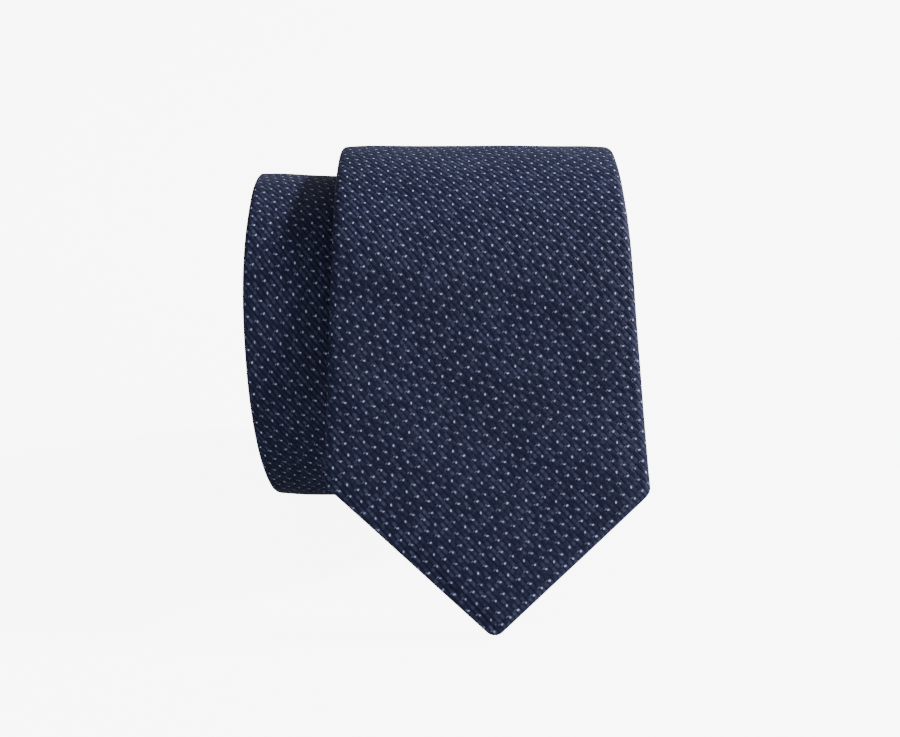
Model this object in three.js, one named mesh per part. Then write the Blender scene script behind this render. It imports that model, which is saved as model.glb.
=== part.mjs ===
// A rolled necktie: a long folded and interlined strip, wound from the narrow tail outwards,
// with the pointed wide blade coming over the top of the roll and leaning down to the table.
// Millimetres, +Z up, coil axis along X, the blade's point towards -Y.
import * as THREE from 'three';
import { mergeVertices } from 'three/addons/utils/BufferGeometryUtils.js';

// ---- Driving dimensions ----
const tieLength = 1480;          // point to point, along the middle of the strip
const bladeWidth = 75;           // across the blade's shoulders
const neckWidth = 34;
const tailWidth = 40;
const bladePieceLength = 705;    // point to the first neck seam
const neckPieceLength = 300;     // between the two neck seams
const taperPower = 0.9;          // below 1, the blade narrows faster near its point
const pointAngle = 95;           // included angle of both points, degrees
const noseWidth = 3.2;           // blunt end of each point

const clothThickness = 0.45;
const interliningThickness = 1.5;
const liningThickness = 0.45;
const layerGap = 0.3;            // between touching pieces
const sideEase = 1;              // between the interlining's edges and the cloth's folds
const seamSlot = 1.4;            // between the two folded edges at the centre back
const hemWidth = 6;              // turned-in cloth along a point's edges
const bladeThroat = 62;          // point to where the blade's back edges meet
const tailThroat = 36;

const flapLength = 80;           // straight free end of the blade
const outerTurnLift = 5.9;       // how far the loose outer turn stands off the roll
const turnClearance = 1.05;      // air between neighbouring turns
const eyeRadius = 5.9;           // middle of the strip at its inner end
const baseFlattening = 0.7;      // how far the roll's weight presses its underside flat

const bladeLean = 2.3;           // sideways drift of the free end
const sideSlide = 29.2;          // sideways step from the outer turn to the next
const slideStart = 125;
const slideEnd = 365;

const backHingeAngle = 180;      // degrees around the roll, from the front over the top
const topHingeAngle = 105;
const liftEnd = 298;             // the outer turn has come down onto the roll here
const liftStart = 118;

const keeperAt = 205;            // along the strip from the blade's point
const keeperBand = 11;
const keeperMargin = 5;          // from the strip's edges to the keeper's ends
const labelAt = 150;
const labelLength = 16;
const labelWidth = 32;
const careTagAt = 66;
const careTagLength = 11;
const careTagWidth = 14;
const tackLength = 1.4;
const tackWidth = 6;
const tackThickness = 0.5;
const threadEnd = 3;             // a throat to the slip stitch's first stitch
const closest = 0.05;            // two cross-sections are at least this far apart
const coarseBelow = 22;          // tighter turns have fewer, wider facets

// ---- Worked out from them ----
const rad = Math.PI / 180;
const stripThickness = 2 * (clothThickness + layerGap) + interliningThickness;
const pitch = stripThickness + turnClearance;
const halfPoint = Math.tan(pointAngle / 2 * rad);
const bladeShoulder = (bladeWidth - noseWidth) / 2 / halfPoint;
const tailShoulder = tieLength - (tailWidth - noseWidth) / 2 / halfPoint;
const neckStart = bladePieceLength;
const neckEnd = bladePieceLength + neckPieceLength;
const hemAcross = hemWidth / Math.cos(pointAngle / 2 * rad);

const clamp = (v) => Math.min(1, Math.max(0, v));
const smooth = (v) => clamp(v) ** 2 * (3 - 2 * clamp(v));
const mix = (a, b, t) => a + (b - a) * t;

// Radius of the strip's middle around the coil axis, against the angle wound in degrees.
function coilRadius(base, angle) {
  const lift = outerTurnLift * (1 - smooth((angle - liftStart) / (liftEnd - liftStart)));
  const spiral = base - pitch * Math.max(0, angle - liftEnd) / 360;
  const flat = (axisHeight(base) - stripThickness / 2) / Math.cos((angle - 270) * rad);
  const nearBase = Math.abs(angle - 270) < 25;
  return nearBase ? Math.min(spiral + lift, flat) : spiral + lift;
}

function axisHeight(base) {
  const lift = outerTurnLift * (1 - smooth((270 - liftStart) / (liftEnd - liftStart)));
  return base + lift + stripThickness / 2 - baseFlattening;
}

// The free end leans so that the back of its point just reaches the table.
function leanOf(base) {
  const reach = base + outerTurnLift - stripThickness / 2;
  const height = axisHeight(base);
  return Math.atan2(reach, flapLength) / rad
    + Math.asin(height / Math.hypot(flapLength, reach)) / rad;
}

// Angle against length wound, from where the free end leaves the roll to the eye.
function windingTable(base) {
  const table = [{ angle: 90 - leanOf(base), length: flapLength }];
  const step = 1.5;
  while (true) {
    const last = table[table.length - 1];
    const radius = coilRadius(base, last.angle + step / 2);
    if (radius < eyeRadius) return table;
    table.push({ angle: last.angle + step, length: last.length + radius * step * rad });
  }
}

function baseRadiusFor(length) {
  let low = eyeRadius + pitch;
  let high = length;
  for (let i = 0; i < 50; i++) {
    const middle = (low + high) / 2;
    const table = windingTable(middle);
    if (table[table.length - 1].length < length) low = middle;
    else high = middle;
  }
  return high;
}

const baseRadius = baseRadiusFor(tieLength);
const winding = windingTable(baseRadius);
const lean = leanOf(baseRadius);
const coilZ = axisHeight(baseRadius);

function lookUp(value, from, to) {
  const next = winding.findIndex((row) => row[from] >= value);
  if (next <= 0) return winding[next === 0 ? 0 : winding.length - 1][to];
  const a = winding[next - 1];
  const b = winding[next];
  return mix(a[to], b[to], (value - a[from]) / (b[from] - a[from]));
}
const angleAt = (length) => lookUp(length, 'length', 'angle');
const lengthAt = (angle) => lookUp(angle, 'angle', 'length');

const leaveAngle = 90 - lean;
const backHinge = lengthAt(backHingeAngle);
const topHinge = lengthAt(topHingeAngle);
const flapHinge = flapLength;

// Middle of the strip and its outward normal in the YZ plane, at one of the corners.
function cornerAt(angle) {
  const radius = coilRadius(baseRadius, angle);
  const normal = [-Math.cos(angle * rad), Math.sin(angle * rad)];
  const length = Math.max(flapLength, lengthAt(angle));
  return { length, y: normal[0] * radius, z: coilZ + normal[1] * radius, normal };
}

// The roll's corners: even angles, set so that one facet lies flat underneath.
// Every layer turns at the same corners, so the layers stay parallel.
const corners = [cornerAt(leaveAngle)];
for (let angle = 52.5; corners[corners.length - 1].length < tieLength;) {
  corners.push(cornerAt(angle));
  angle += coilRadius(baseRadius, angle) > coarseBelow ? 15 : 22.5;
}

function pathAt(length) {
  if (length <= flapLength) {
    const free = flapLength - length;
    const { y, z, normal } = corners[0];
    return { y: y - free * Math.cos(lean * rad), z: z - free * Math.sin(lean * rad), normal };
  }
  const next = Math.max(1, corners.findIndex((corner) => corner.length >= length));
  const a = corners[next - 1];
  const b = corners[next];
  const t = (length - a.length) / (b.length - a.length);
  return {
    y: mix(a.y, b.y, t),
    z: mix(a.z, b.z, t),
    normal: [mix(a.normal[0], b.normal[0], t), mix(a.normal[1], b.normal[1], t)],
  };
}

function widthAt(length) {
  const t = clamp((length - bladeShoulder) / (neckStart - bladeShoulder));
  const blade = mix(bladeWidth, neckWidth, t ** taperPower);
  const tail = mix(neckWidth, tailWidth, smooth((length - neckEnd) / (tailShoulder - neckEnd)));
  const pointed = (fromEnd) => noseWidth + 2 * halfPoint * fromEnd;
  return Math.min(length < neckEnd ? blade : tail, pointed(length), pointed(tieLength - length));
}

function centreAt(length) {
  return bladeLean * Math.max(0, 1 - length / slideStart)
    - sideSlide * smooth((length - slideStart) / (slideEnd - slideStart));
}

// Width of the cloth folded to the back on each side: a hem along a point's edges,
// running up to the centre back at the throat.
function foldAt(length) {
  const closed = (widthAt(length) - seamSlot) / 2;
  const opening = (fromEnd, shoulder, throat) =>
    mix(hemAcross, closed, clamp((fromEnd - shoulder) / (throat - shoulder)));
  const blade = opening(length, bladeShoulder, bladeThroat);
  const tail = opening(tieLength - length, tieLength - tailShoulder, tailThroat);
  return Math.min(closed, blade, tail);
}

// Lengths where a piece has a cross-section: its ends, the corners of its outline and the roll's.
function stationsBetween(start, end) {
  const outlineCorners = [9, bladeShoulder / 2, bladeShoulder, 48, bladeThroat, flapLength,
    tieLength - tailThroat, tailShoulder, (tailShoulder + tieLength) / 2, tieLength - 4];
  const inner = [...outlineCorners, ...corners.map((corner) => corner.length)]
    .filter((length) => length > start + closest && length < end - closest)
    .sort((a, b) => a - b);
  return [start, ...inner.filter((length, i) => i === 0 || length - inner[i - 1] > 1e-6), end];
}

// Sweeps a shape along the strip. The shape is drawn in whole steps; across and depth
// turn a step into millimetres at a given length. Depth runs from the front inwards.
function sweep(shape, start, end, across, depth) {
  const stations = stationsBetween(start, end);
  const steps = stations.length - 1;
  let geometry = new THREE.ExtrudeGeometry(shape, { depth: steps, steps, bevelEnabled: false });
  geometry.deleteAttribute('normal');
  geometry.deleteAttribute('uv');
  geometry = mergeVertices(geometry);
  const position = geometry.attributes.position;
  for (let i = 0; i < position.count; i++) {
    const length = stations[Math.round(position.getZ(i))];
    const path = pathAt(length);
    const out = stripThickness / 2 - depth(position.getY(i), length);
    position.setXYZ(
      i,
      centreAt(length) + across(position.getX(i), length),
      path.y + path.normal[0] * out,
      path.z + path.normal[1] * out,
    );
  }
  geometry.computeVertexNormals();
  return geometry;
}

const outline = (points) => new THREE.Shape(points.map(([x, y]) => new THREE.Vector2(x, y)));
const foldedShape = outline([
  [-3, 0], [3, 0], [3, 3], [1, 3], [1, 2], [2, 2],
  [2, 1], [-2, 1], [-2, 2], [-1, 2], [-1, 3], [-3, 3],
]);
const flatShape = outline([[-1, 0], [1, 0], [1, 1], [-1, 1]]);

function cloth(start, end) {
  const across = (step, length) => {
    const half = widthAt(length) / 2;
    const inset = [half - foldAt(length), half - clothThickness, half][Math.abs(step) - 1];
    return Math.sign(step) * inset;
  };
  const levels = [0, clothThickness, stripThickness - clothThickness, stripThickness];
  return sweep(foldedShape, start, end, across, (step) => levels[step]);
}

function flat(start, end, halfWidth, top, thickness) {
  const across = (step, length) => step * halfWidth(length);
  return sweep(flatShape, start, end, across, (step) => top + step * thickness);
}

function interlining(start, end) {
  const halfWidth = (length) => widthAt(length) / 2 - clothThickness - sideEase;
  return flat(start, end, halfWidth, clothThickness + layerGap, interliningThickness);
}

function slipStitch(start, end) {
  const top = stripThickness - clothThickness;
  return flat(start, end, () => seamSlot / 2 - layerGap, top, clothThickness);
}

function tipping(start, end) {
  const half = (s) => Math.max(0.25, widthAt(s) / 2 - foldAt(s) - layerGap);
  return flat(start, end, half, stripThickness - liningThickness, liningThickness);
}

// A small piece lying on the strip's back.
function onBack(start, end, width, thickness) {
  return flat(start, end, () => width / 2, stripThickness + layerGap, thickness);
}

const finishes = {
  cloth: { color: 0x23283f, roughness: 0.72, metalness: 0 },
  lining: { color: 0x1b2036, roughness: 0.45, metalness: 0 },
  wool: { color: 0xd8d2c4, roughness: 0.95, metalness: 0 },
  thread: { color: 0x2c3458, roughness: 0.6, metalness: 0 },
  label: { color: 0x2a2f45, roughness: 0.5, metalness: 0 },
  tape: { color: 0xe6e3dc, roughness: 0.7, metalness: 0 },
};

const tie = new THREE.Group();
function add(name, geometry, finish) {
  const mesh = new THREE.Mesh(geometry, new THREE.MeshStandardMaterial(finishes[finish]));
  mesh.name = name;
  tie.add(mesh);
}

// The strip is cut where it hinges: free blade, front of the outer turn, top of the
// outer turn, and the rest of the roll.
const gap = layerGap / 2;
const interliningStart = 1;
const threadStart = bladeThroat + threadEnd;
const threadStop = tieLength - tailThroat - threadEnd;
const stretches = [
  { part: 'blade_point', start: 0, end: flapHinge - gap },
  { part: 'turn_front', start: flapHinge + gap, end: topHinge - gap },
  { part: 'turn_back', start: topHinge + gap, end: backHinge - gap },
  { part: 'roll', start: backHinge + gap, end: tieLength },
];
for (const { part, start, end } of stretches) {
  const last = part === 'roll';
  add(`${part}_cloth`, cloth(start, last ? bladePieceLength - gap : end), 'cloth');
  const liningEnd = last ? tieLength - interliningStart : end;
  add(`${part}_interlining`, interlining(Math.max(start, interliningStart), liningEnd), 'wool');
  const stitchEnd = last ? threadStop : end;
  add(`${part}_slip_stitch`, slipStitch(Math.max(start, threadStart), stitchEnd), 'thread');
}
add('neck_cloth', cloth(bladePieceLength + gap, neckEnd - gap), 'cloth');
add('tail_cloth', cloth(neckEnd + gap, tieLength), 'cloth');

const hemEnd = (hemAcross + layerGap + 0.25 - noseWidth / 2) / halfPoint;
add('blade_tipping', tipping(hemEnd, bladeThroat - threadEnd), 'lining');
add('tail_tipping', tipping(tieLength - tailThroat + threadEnd, tieLength - hemEnd), 'lining');

const keeperWidth = widthAt(keeperAt) - 2 * keeperMargin;
add('keeper_loop', onBack(keeperAt, keeperAt + keeperBand, keeperWidth, clothThickness), 'cloth');
add('blank_label', onBack(labelAt, labelAt + labelLength, labelWidth, layerGap), 'label');
add('care_tag', onBack(careTagAt, careTagAt + careTagLength, careTagWidth, layerGap), 'tape');
const tacks = [['blade_bar_tack', bladeThroat - tackLength], ['tail_bar_tack', tieLength - tailThroat]];
for (const [name, at] of tacks) {
  add(name, onBack(at, at + tackLength, tackWidth, tackThickness), 'thread');
}

// The origin is the middle of the underside of the whole tie.
const box = new THREE.Box3().setFromObject(tie);
const middle = box.getCenter(new THREE.Vector3());
tie.position.set(-middle.x, -middle.y, -box.min.z);

export default tie;
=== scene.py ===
# Rolled necktie: the cloth, lining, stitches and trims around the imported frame.
import bpy
import math
import numpy as np
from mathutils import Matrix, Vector


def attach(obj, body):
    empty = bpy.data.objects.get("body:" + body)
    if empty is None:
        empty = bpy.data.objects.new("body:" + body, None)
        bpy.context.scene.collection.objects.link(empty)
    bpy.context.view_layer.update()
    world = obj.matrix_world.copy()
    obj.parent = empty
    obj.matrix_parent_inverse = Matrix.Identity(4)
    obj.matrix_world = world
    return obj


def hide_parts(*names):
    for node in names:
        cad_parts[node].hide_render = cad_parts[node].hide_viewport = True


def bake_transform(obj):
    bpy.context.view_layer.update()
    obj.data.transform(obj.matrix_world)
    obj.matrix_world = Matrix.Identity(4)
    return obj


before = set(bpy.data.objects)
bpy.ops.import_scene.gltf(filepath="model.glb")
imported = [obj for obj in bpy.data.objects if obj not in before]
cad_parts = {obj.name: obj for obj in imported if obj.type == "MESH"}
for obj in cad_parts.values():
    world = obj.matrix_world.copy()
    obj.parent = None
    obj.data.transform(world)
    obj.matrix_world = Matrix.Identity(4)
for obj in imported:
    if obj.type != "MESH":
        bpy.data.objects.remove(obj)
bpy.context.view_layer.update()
mm = 0.001
print("frame loaded")

# the strip: the same sizes that the frame was drawn from, in mm
strip = {
    "length": 1480, "bladeWidth": 75, "neckWidth": 34, "tailWidth": 40,
    "bladePiece": 705, "neckPiece": 300, "taperPower": 0.9,
    "pointAngle": 95, "noseWidth": 3.2, "thickness": 3.0,
    "cloth": 0.45, "hem": 6.0, "seamSlot": 0.5,
    "bladeThroat": 62, "tailThroat": 36,
}
roll = {
    "flap": 80, "lift": 5.9, "pitch": 4.05, "flatten": 0.7,
    "liftStart": 118, "liftEnd": 298, "lean": 2.3, "slide": 29.2,
    "slideStart": 125, "slideEnd": 365, "flatReach": 25,
    "baseRadius": 39.764, "axisX": 8.381, "axisY": 19.345,
}


def clamp(v):
    return np.clip(v, 0.0, 1.0)


def smooth(v):
    return clamp(v) ** 2 * (3 - 2 * clamp(v))


def mix(a, b, t):
    return a + (b - a) * t


halfPoint = math.tan(math.radians(strip["pointAngle"] / 2))
bladeShoulder = (strip["bladeWidth"] - strip["noseWidth"]) / 2 / halfPoint
tailShoulder = strip["length"] - (strip["tailWidth"] - strip["noseWidth"]) / 2 / halfPoint
neckEnd = strip["bladePiece"] + strip["neckPiece"]
bottomAngle = 270


def liftAt(angle):
    # how far the outer turn stands off the turns inside it
    turn = (angle - roll["liftStart"]) / (roll["liftEnd"] - roll["liftStart"])
    return roll["lift"] * (1 - smooth(turn))


def axisHeight():
    return roll["baseRadius"] + float(liftAt(bottomAngle)) + strip["thickness"] / 2 - roll["flatten"]


def coilRadius(angle):
    # middle of the strip around the roll's axis: wound evenly under the outer turn, pressed flat below
    spiral = roll["baseRadius"] - roll["pitch"] * np.maximum(0, angle - roll["liftEnd"]) / 360
    radius = spiral + liftAt(angle)
    fromBottom = angle - bottomAngle
    flat = (axisHeight() - strip["thickness"] / 2) / np.maximum(0.2, np.cos(np.radians(fromBottom)))
    return np.where(abs(fromBottom) < roll["flatReach"], np.minimum(radius, flat), radius)


reach = roll["baseRadius"] + roll["lift"] - strip["thickness"] / 2
leanAngle = math.degrees(math.atan2(reach, roll["flap"])
                         + math.asin(axisHeight() / math.hypot(roll["flap"], reach)))
leaveAngle = 90 - leanAngle  # where the strip leaves the roll for the table
windTo = 3500
pathStep = 0.25  # mm along the strip, and degrees of winding


def windStrip():
    # places along the strip: length, angle, and the middle line in the YZ plane
    angle = np.arange(leaveAngle, windTo, pathStep)
    radius = coilRadius(angle)
    y, z = -np.cos(np.radians(angle)) * radius, np.sin(np.radians(angle)) * radius
    along = roll["flap"] + np.concatenate([[0], np.cumsum(np.hypot(np.diff(y), np.diff(z)))])
    fine = np.arange(-4, strip["length"] + 4, pathStep)
    wound = np.interp(fine, along, angle)
    free = np.maximum(0, roll["flap"] - fine)
    lean = math.radians(leanAngle)
    yy = np.interp(fine, along, y) - free * math.cos(lean)
    zz = np.interp(fine, along, z) - free * math.sin(lean)
    return fine, wound, yy, zz


pathLength, pathAngle, pathY, pathZ = windStrip()


def centreAt(s):
    return (roll["lean"] * np.maximum(0, 1 - s / roll["slideStart"])
            - roll["slide"] * smooth((s - roll["slideStart"]) / (roll["slideEnd"] - roll["slideStart"])))


shiftX, axisY, axisZ = roll["axisX"], roll["axisY"], axisHeight()


def softMin(a, b, r):
    # the smaller of two widths, with the corner between them rounded
    h = np.clip(0.5 + (b - a) / (2 * r), 0, 1)
    return b + (a - b) * h - r * h * (1 - h)


# the two points, in mm: the nose's radius, how far the blade's is cut off centre, the shoulders' corners
point = {"noseRadius": 2.7, "skew": 1.0, "shoulderRound": 1.5}
halfPointSine = math.sin(math.radians(strip["pointAngle"] / 2))
halfPointCosine = math.cos(math.radians(strip["pointAngle"] / 2))
apex = -strip["noseWidth"] / 2 / halfPoint  # where a point's edges would meet, along the strip
noseStart = apex + point["noseRadius"] / halfPointSine - point["noseRadius"]


def bodyWidth(s):
    t = clamp((s - bladeShoulder) / (strip["bladePiece"] - bladeShoulder))
    blade = mix(strip["bladeWidth"], strip["neckWidth"], t ** strip["taperPower"])
    tail = mix(strip["neckWidth"], strip["tailWidth"], smooth((s - neckEnd) / (tailShoulder - neckEnd)))
    return np.where(s < neckEnd, blade, tail)


def sidesAt(s):
    # how far the two edges are from the middle line; the blade's point is a little off centre
    half = bodyWidth(s) / 2
    blade, tail = pointWidth(s) / 2, pointWidth(strip["length"] - s) / 2
    r = point["shoulderRound"]
    left = softMin(softMin(half, blade - point["skew"], r), tail, r)
    right = softMin(softMin(half, blade + point["skew"], r), tail, r)
    return left, right


def widthAt(s):
    left, right = sidesAt(s)
    return left + right


def middleAt(s):
    left, right = sidesAt(s)
    return (right - left) / 2


def pointWidth(fromEnd):
    # two straight edges that meet in a small round nose
    r = point["noseRadius"]
    x = np.maximum(fromEnd - noseStart, 0)
    arc = 2 * np.sqrt(np.maximum(r * r - np.maximum(r - x, 0) ** 2, 0))
    straight = 2 * (fromEnd - apex) * halfPoint
    tangent = noseStart + r * (1 - halfPointSine)
    return np.where(fromEnd < tangent, arc, straight)


def wander(s, seed, size, length):
    # slow unevenness along the strip
    rng = np.random.default_rng(seed)
    total = 0
    for k in range(4):
        turns = s / length * (1.7 ** k) * 2 * math.pi
        total = total + math.pow(0.6, k) * np.sin(turns + rng.uniform(0, 6.28))
    return size * total / 2


# cloth coordinates: one unit is one repeat of the dots. The repeat's size across the strip, in mm,
# changes from the tip to the bend and to the roll; starts and runs are lengths along the strip
weave = {
    "acrossTip": 6.85, "acrossBend": 6.45, "acrossRoll": 6.12, "even": 6.88,
    "bendStart": 40, "bendRun": 50, "rollStart": 140, "rollRun": 160,
    "grainTurn": 0.0625, "turnStart": 170, "turnRun": 90, "bow": 0.00112,
}


def repeatAcross(s):
    bend = smooth((s - weave["bendStart"]) / weave["bendRun"])
    rolled = smooth((s - weave["rollStart"]) / weave["rollRun"])
    return mix(mix(weave["acrossTip"], weave["acrossBend"], bend), weave["acrossRoll"], rolled)


def clothCoordinates(across, s):
    upFine = np.sqrt(2 * weave["even"] ** 2 - repeatAcross(pathLength) ** 2)
    climb = np.concatenate([[0], np.cumsum(pathStep / upFine[1:])])
    across = across + middleAt(s)
    u = (across - weave["grainTurn"] * s) / repeatAcross(s)
    turn = weave["grainTurn"] * (1 - smooth((s - weave["turnStart"]) / weave["turnRun"]))
    v = np.interp(s, pathLength, climb) + (turn * across - weave["bow"] * across ** 2) / weave["even"]
    return u, v


def placeOnPath(s, depth):
    # s along the strip, depth from its middle towards the roll's inside; returns y and z in mm
    y, z = np.interp(s, pathLength, pathY), np.interp(s, pathLength, pathZ)
    ahead, behind = s + 0.6, s - 0.6
    dy = np.interp(ahead, pathLength, pathY) - np.interp(behind, pathLength, pathY)
    dz = np.interp(ahead, pathLength, pathZ) - np.interp(behind, pathLength, pathZ)
    size = np.hypot(dy, dz)
    ny, nz = -dz / size, dy / size
    return y - ny * depth + axisY, z - nz * depth + axisZ


# the folded cloth
fold = {
    "round": 1.5, "innerRound": 1.0, "innerStart": 230, "innerRun": 60,
    "pillow": 0.28, "pillowReach": 7.0, "plump": 0.3, "plumpStart": 300, "plumpRun": 60,
    "creaseAt": 2.3, "creaseWidth": 0.45, "creaseDeep": 0.6, "creaseRight": 0.1, "creaseUpper": 0.3,
    "creaseTip": 24, "tipRound": 1.8,
}
wave = {
    "size": 0.16, "length": 31.0, "edge": 0.22, "edgeLength": 170, "bow": 0.55,
    "edgeLift": 1.1, "liftMiddle": 375, "liftReach": 55, "liftAcross": 26,
}
# how finely a cross-section is drawn: places near the edge in mm from it, then points across the middle,
# round each fold and along each side of the back
fineDetail = {"marks": [1.75, 2.05, 2.3, 2.55, 2.9, 3.6, 5.0, 7.0], "middle": 14, "turn": 9, "back": 9}
plainDetail = {"marks": [2.6, 5.0], "middle": 5, "turn": 5, "back": 4}


def foldWidth(s):
    # how much cloth is folded to the back on each side
    closed = (widthAt(s) - strip["seamSlot"]) / 2
    hemAcross = strip["hem"] / halfPointCosine
    blade = mix(hemAcross, closed, clamp((s - bladeShoulder) / (strip["bladeThroat"] - bladeShoulder)))
    fromTail = strip["length"] - s
    tailSide = strip["length"] - tailShoulder
    tail = mix(hemAcross, closed, clamp((fromTail - tailSide) / (strip["tailThroat"] - tailSide)))
    return min(closed, float(blade), float(tail))


def edgeCosine(s):
    # a point's edges run at an angle, so a distance from the edge is longer when measured across
    blade = mix(halfPointCosine, 1.0, float(smooth((s - bladeShoulder + 3) / 6)))
    tail = mix(halfPointCosine, 1.0, float(smooth((tailShoulder + 3 - s) / 6)))
    return min(blade, tail)


def roundOff(s):
    # the strip thins away over the last millimetres of each point
    toEnd = np.minimum(s - noseStart, strip["length"] - noseStart - s)
    x = clamp(toEnd / fold["tipRound"])
    return float(np.sqrt(np.maximum(0.02, x * (2 - x))))


def halfThickAt(s):
    # the inner turns are a little plumper, so that the roll is nearly closed
    inner = float(smooth((s - fold["plumpStart"]) / fold["plumpRun"]))
    return strip["thickness"] / 2 + fold["plump"] * inner


def crossSection(s, detail):
    # outer skin from the left back edge round the front to the right back edge:
    # place across, depth, and place in the flat cloth
    w, f, slant = float(widthAt(s)), foldWidth(s), edgeCosine(s)
    half = w / 2
    wound = float(smooth((s - fold["innerStart"]) / fold["innerRun"]))
    softness = mix(fold["round"], fold["innerRound"], wound)
    r = min(softness / slant, 0.45 * half, 0.8 * max(f, 0.05))
    thick = halfThickAt(s) * roundOff(s)
    marks = detail["marks"]
    squeeze = min(1.0, 0.9 * (half - r) / max(marks[-1] / slant - r, 0.01)) if half > r else 0.5
    inset = [r + max(0.02, (m / slant - r)) * squeeze for m in marks]
    inset = [min(x, half * 0.97) for x in inset]
    middle = half - inset[-1]
    centre = list(np.linspace(-middle, middle, detail["middle"]))
    left = [-(half - x) for x in inset[:-1]]
    right = [half - x for x in reversed(inset[:-1])]
    turns = np.linspace(0, math.pi, detail["turn"])
    backs = np.linspace(half - r, half - max(f, r * 1.05), detail["back"])
    section = []

    def front(a):
        # a little fuller in the middle, with a faint pressed line near the edges of a point
        d = max(0.0, (half - abs(a)) * slant)
        crown = fold["pillow"] * (1 - float(smooth(d / fold["pillowReach"])))
        pointed = 1 - float(smooth((min(s, strip["length"] - s) - bladeShoulder) / 8))
        nearTip = float(smooth((fold["creaseTip"] - s) / 10))
        share = mix(fold["creaseUpper"], 1.0, nearTip) if a < 0 else fold["creaseRight"]
        fromCrease = (d - fold["creaseAt"]) / fold["creaseWidth"]
        crease = fold["creaseDeep"] * share * pointed * math.exp(-fromCrease ** 2)
        return thick - min(thick * 0.8, crown * roundOff(s) + crease)

    def turned(side, t):
        a = side * ((half - r) + r * math.sin(t))
        deep = front(a) if t < math.pi / 2 else thick
        return (a, -deep * math.cos(t), side * (half - r + (r + thick) / 2 * t))

    frontHalf = half - r + (r + thick) / 2 * math.pi
    for a in -backs[::-1]:
        section.append((a, thick, -(frontHalf + half - r + a)))
    for t in turns[::-1][1:]:
        section.append(turned(-1, t))
    for a in left + centre + right:
        section.append((a, -front(a), a))
    for t in turns[:-1]:
        section.append(turned(1, t))
    for a in backs:
        section.append((a, thick, frontHalf + half - r - a))
    return np.array(section)


def skinBelow(section, thickness):
    # the cloth's inner face, a cloth's thickness inside the outer one
    ahead = np.roll(section[:, :2], -1, axis=0)
    behind = np.roll(section[:, :2], 1, axis=0)
    ahead[-1], behind[0] = section[-1, :2], section[0, :2]
    run = ahead - behind
    run /= np.maximum(np.hypot(run[:, 0], run[:, 1]), 1e-6)[:, None]
    inner = section.copy()
    inner[:, 0] -= run[:, 1] * thickness
    inner[:, 1] += run[:, 0] * thickness
    return inner


def ripple(across, s):
    # soft unevenness of the whole strip, out of its own plane
    a = np.sin((s * 0.8 + across * 0.9) / wave["length"] * 6.28 + 0.7)
    b = np.sin((s * 1.1 - across * 0.6) / (wave["length"] * 0.62) * 6.28 + 2.1)
    return wave["size"] * (0.6 * a + 0.4 * b)


def bowAt(s):
    # the free end is very slightly bowed outwards between the roll and the table
    return wave["bow"] * np.sin(np.pi * clamp(s / roll["flap"])) ** 2


def edgeLift(across, s):
    # the second turn's free edge stands up a little where it passes over the top
    nearness = smooth(1 - abs(s - wave["liftMiddle"]) / wave["liftReach"])
    return wave["edgeLift"] * nearness * clamp(-across / wave["liftAcross"]) ** 2


def place(across, depth, s):
    # a point of the strip in mm: across and depth are measured in the strip's own cross-section
    depth = depth + ripple(across, s) - bowAt(s) - edgeLift(across, s)
    y, z = placeOnPath(np.full_like(across, s), depth)
    drift = wander(s, 3, wave["edge"], wave["edgeLength"])
    x = centreAt(s) + middleAt(s) + drift + across + shiftX
    return np.stack([x, y, np.maximum(z, 0.02)], axis=-1)


def pointAt(across, depth, s):
    return place(np.array([across]), np.array([depth]), s)[0]


def clothRows(rows, detail):
    grids, uvs = [], []
    for s in rows:
        outer = crossSection(s, detail)
        inner = skinBelow(outer, min(strip["cloth"], strip["thickness"] / 2 * roundOff(s) * 0.6))
        ring = np.concatenate([outer, inner[::-1]])
        grids.append(place(ring[:, 0], ring[:, 1], s))
        uvs.append(np.stack(clothCoordinates(ring[:, 2], s), axis=-1))
    return np.array(grids), np.array(uvs)


def ringNormals(grid):
    # smooth normals of the whole strip, so that its pieces meet with no line between them
    around = np.roll(grid, -1, axis=1) - np.roll(grid, 1, axis=1)
    along = np.gradient(grid, axis=0)
    n = np.cross(around, along)
    n /= np.maximum(np.linalg.norm(n, axis=-1), 1e-9)[..., None]
    half = grid.shape[1] // 2
    outwards = grid[:, half // 2] - grid[:, -half // 2]
    if (n[:, half // 2] * outwards).sum() < 0:
        n = -n
    return n


def stripMesh(name, grid, uv, normals=None):
    # a piece from rings of points: a folded cloth's ends are closed between its two skins
    cols = grid.shape[1]
    caps = []
    for base, flip in ((0, True), ((grid.shape[0] - 1) * cols, False)):
        for j in range(cols // 2 - 1):
            quad = (base + j, base + j + 1, base + cols - 2 - j, base + cols - 1 - j)
            caps.append(quad[::-1] if flip else quad)
    return ringMesh(name, grid, uv, caps, True, normals)


def slabMesh(name, grid, uv):
    # a solid piece from rings of points, with one flat face at each end
    rows, cols = grid.shape[:2]
    caps = [tuple(reversed(range(cols))), tuple((rows - 1) * cols + j for j in range(cols))]
    return ringMesh(name, grid, uv, caps, False)


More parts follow.
